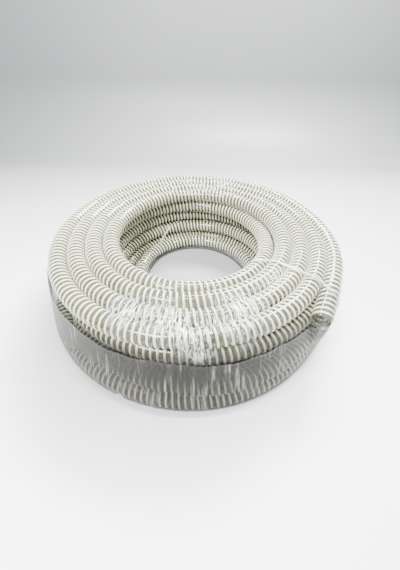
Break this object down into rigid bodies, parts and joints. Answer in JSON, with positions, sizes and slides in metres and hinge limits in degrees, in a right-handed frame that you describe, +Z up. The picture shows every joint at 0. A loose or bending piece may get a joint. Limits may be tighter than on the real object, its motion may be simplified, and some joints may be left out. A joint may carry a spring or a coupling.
{
  "type": "vacuum hose",
  "caption": "Long flexible vacuum hose for pools and spas, with a clear wall and a rigid outside helix, wound in a flat coil and wrapped in stretch film.",
  "frame": {"origin": "on the floor, under the middle of the coil", "axes": "+Z up along the axis of the coil, +X to the right and -Y towards the mouth of the free end"},
  "size_m": [0.704, 0.704, 0.181],
  "materials": {
    "hose_wall": "clear soft plastic, glossy",
    "hose_helix": "rigid cream-white plastic, satin",
    "film": "clear stretch film, glossy, wrinkled"
  },
  "bodies": {
    "root": {"hose_coil": "hose_wall", "free_end_wall": "hose_wall", "free_end_helix": "hose_helix", "hidden_end_wall": "hose_wall", "hidden_end_helix": "hose_helix", "girth_film": "film", "through_film": "film"}
  },
  "joints": []
}
